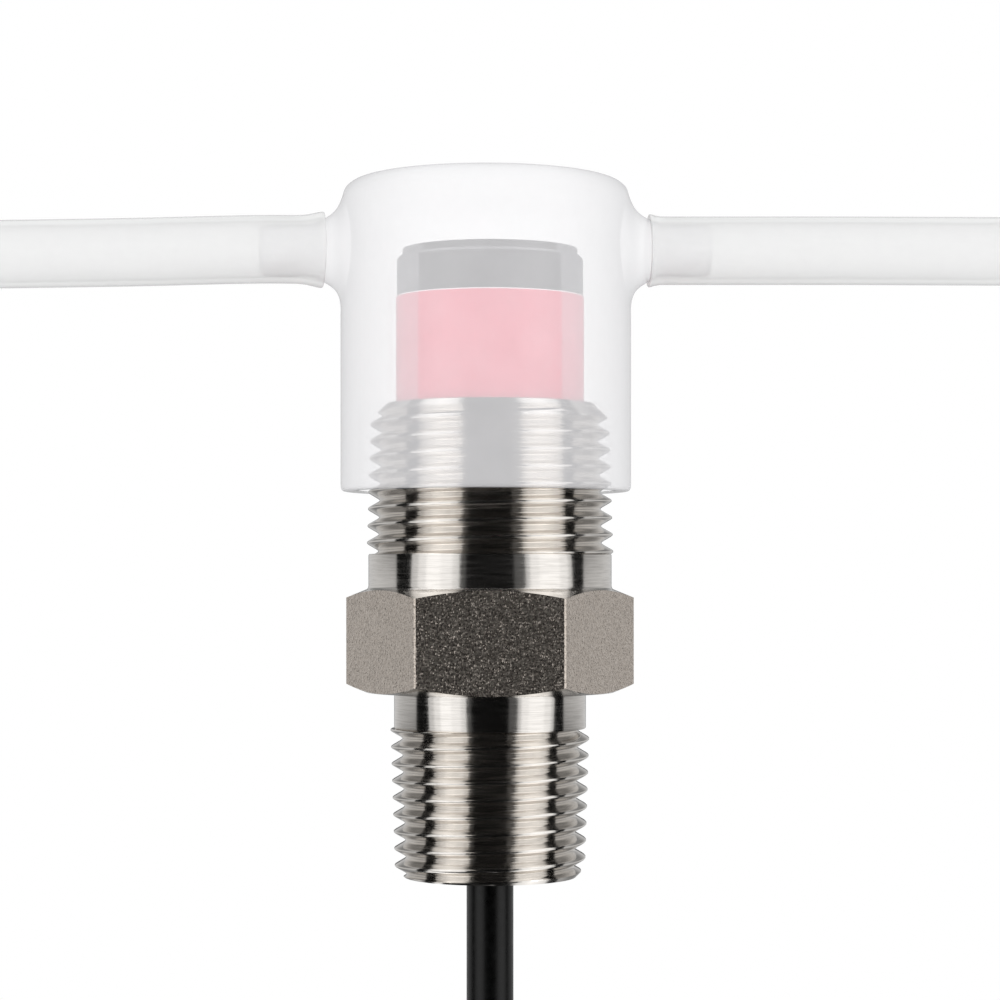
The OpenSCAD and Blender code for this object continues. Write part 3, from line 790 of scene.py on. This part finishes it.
def relax_ports(mesh, reach_out, passes):
    """Evens out the skin round each port's root, and the step in it where the hose stops."""
    work = bmesh.new()
    work.from_mesh(mesh)
    root = []
    for v in work.verts:
        x, y = abs(v.co.x - cap_x) / MM, v.co.y / MM
        r = math.hypot(y, (v.co.z - port_z) / MM)
        on_skin = math.hypot(x, y) > wall_r - skin_depth and x < root_end_x
        if on_skin and root_inner_r < r < reach_out:
            root.append(v)
    for _ in range(passes):
        bmesh.ops.smooth_vert(work, verts=root, factor=0.5, use_axis_x=True, use_axis_y=True,
                              use_axis_z=True)
    work.to_mesh(mesh)
    work.free()


for reach_out in root_reaches:
    relax_ports(cap.data, reach_out, root_passes)
for face in cap.data.polygons:
    face.material_index = int(in_cavity(face.center))
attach(cap, "cap")
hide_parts("flow_cap")

# --- Floor and light ------------------------------------------------------------------------
# A pale floor below the leads, tall soft strips of light on each side of the camera, and a studio
# that is white behind the part and dark round the camera, as bright metal needs.
floor_gap, floor_r = 6 * MM, 0.9
floor_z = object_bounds()[0].z - floor_gap
bpy.ops.mesh.primitive_circle_add(vertices=96, radius=floor_r, fill_type="NGON",
                                  location=(0, 0, floor_z))
floor = bpy.context.object
floor.name = "floor"
floor.visible_glossy = False


def pale_floor():
    """A matt white floor that fades into the white background, and isn't seen from below."""
    material, tree, close = new_material("matt_white_floor")
    place = add(tree, "TexCoord").outputs["Object"]
    far = add(tree, "VectorMath", {"operation": "LENGTH"}, i0=place).outputs["Value"]
    fade = add(tree, "MapRange", i0=far, i1=0.35, i2=0.85, i3=0.0, i4=1.0).outputs[0]
    matt = add(tree, "BsdfDiffuse", Color=linear("#f4f4f4"))
    seen = add(tree, "LightPath").outputs["Is Camera Ray"]
    glow = add(tree, "Emission", Color=linear("#ffffff"), Strength=seen)
    lift = add(tree, "Math", {"operation": "MULTIPLY"}, i0=seen, i1=0.3).outputs[0]
    lit = add(tree, "AddShader", i0=matt.outputs[0],
              i1=add(tree, "Emission", Strength=lift).outputs[0])
    top = add(tree, "MixShader", i0=fade, i1=lit.outputs[0], i2=glow.outputs[0])
    below = add(tree, "Math", {"operation": "MULTIPLY"}, i0=seen,
                i1=add(tree, "NewGeometry").outputs["Backfacing"]).outputs[0]
    close(add(tree, "MixShader", i0=below, i1=top.outputs[0],
              i2=add(tree, "BsdfTransparent").outputs[0]))
    return material


floor.data.materials.append(pale_floor())

softbox_distance, softbox_height, softbox_z = 0.6, 0.9, 0.03
# Each strip: its first and last turn from the camera's direction in degrees, and its radiance.
softbox_strips = [(-80, -72, 0.65), (-72, -63, 0.95), (-63, -48, 1.2), (-48, -36, 1.08),
                  (-36, -29, 0.85), (-29, -23, 0.07), (23, 34, 0.09), (34, 38.5, 0.65),
                  (38.5, 48, 1.05), (48, 70, 1.18), (70, 79, 1.0), (79, 84, 0.7)]
for start, end, radiance in softbox_strips:
    width = 2 * softbox_distance * math.tan(math.radians(end - start) / 2)
    lamp = bpy.data.lights.new("softbox", "AREA")
    lamp.shape = "RECTANGLE"
    lamp.size = width
    lamp.size_y = softbox_height
    lamp.energy = radiance * math.pi * width * softbox_height
    softbox = bpy.data.objects.new("softbox", lamp)
    turn = math.radians((start + end) / 2)
    softbox.location = (math.sin(turn) * softbox_distance, -math.cos(turn) * softbox_distance,
                        softbox_z)
    softbox.rotation_euler = (math.radians(90), 0.0, turn)
    softbox.visible_camera = False
    bpy.context.scene.collection.objects.link(softbox)

world = bpy.data.worlds.new("studio")
bpy.context.scene.world = world
world.use_nodes = True
tree = world.node_tree
tree.nodes.clear()
way = add(tree, "SeparateXYZ", Vector=add(tree, "TexCoord").outputs["Generated"])
across = add(tree, "Math", {"operation": "ABSOLUTE"}, i0=way.outputs["X"]).outputs[0]
ahead = add(tree, "Math", {"operation": "SUBTRACT"}, i0=1.0, i1=way.outputs["Y"]).outputs[0]
half_turn = add(tree, "Math", {"operation": "ARCTAN2"}, i0=across, i1=ahead).outputs[0]
share = add(tree, "Math", {"operation": "DIVIDE"}, i0=half_turn, i1=math.pi / 2).outputs[0]


def room_ring(steps):
    """The brightness of the studio round the part, from the camera's side to the far side."""
    ring = add(tree, "ValToRGB", Fac=share)
    for k, (at, bright) in enumerate(steps):
        stop = ring.color_ramp.elements[k] if k < 2 else ring.color_ramp.elements.new(at)
        stop.position = at
        stop.color = (bright, bright, bright, 1.0)
    return ring.outputs["Color"]


level_ring = room_ring([(0.0, 0.004), (0.545, 0.004), (0.552, 0.6), (0.92, 0.6), (0.95, 0.1)])
raised_ring = room_ring([(0.0, 0.004), (0.545, 0.004), (0.552, 0.24), (0.92, 0.24), (0.95, 0.1)])
steep_ring = room_ring([(0.0, 0.004), (0.15, 0.01), (0.2, 1.0), (0.3, 1.4), (0.43, 0.9),
                        (0.46, 0.02), (0.545, 0.02), (0.552, 0.4)])
height = add(tree, "Math", {"operation": "ABSOLUTE"}, i0=way.outputs["Z"]).outputs[0]
raised = add(tree, "MapRange", i0=height, i1=0.12, i2=0.32, i3=0.0, i4=1.0).outputs[0]
steep = add(tree, "MapRange", i0=height, i1=0.46, i2=0.6, i3=0.0, i4=1.0).outputs[0]
room = add(tree, "Mix", {"data_type": "RGBA"}, i0=raised, i6=level_ring, i7=raised_ring).outputs[2]
room = add(tree, "Mix", {"data_type": "RGBA"}, i0=steep, i6=room, i7=steep_ring).outputs[2]
light_path = add(tree, "LightPath")
upward = add(tree, "MapRange", i0=way.outputs["Z"], i1=-1.0, i2=1.0, i3=0.12, i4=1.44).outputs[0]
fill = add(tree, "Mix", {"data_type": "RGBA"}, i0=light_path.outputs["Is Glossy Ray"],
           i6=upward, i7=room).outputs[2]
clear = add(tree, "Math", {"operation": "MAXIMUM"}, i0=light_path.outputs["Is Camera Ray"],
            i1=light_path.outputs["Is Transmission Ray"]).outputs[0]
shown = add(tree, "Mix", {"data_type": "RGBA"}, i0=clear, i6=fill, i7=(1.0, 1.0, 1.0, 1.0))
background = add(tree, "Background", Color=shown.outputs[2], Strength=1.0)
output = tree.nodes.new("ShaderNodeOutputWorld")
tree.links.new(background.outputs[0], output.inputs["Surface"])

view_settings = bpy.context.scene.view_settings
view_settings.view_transform = "Standard"
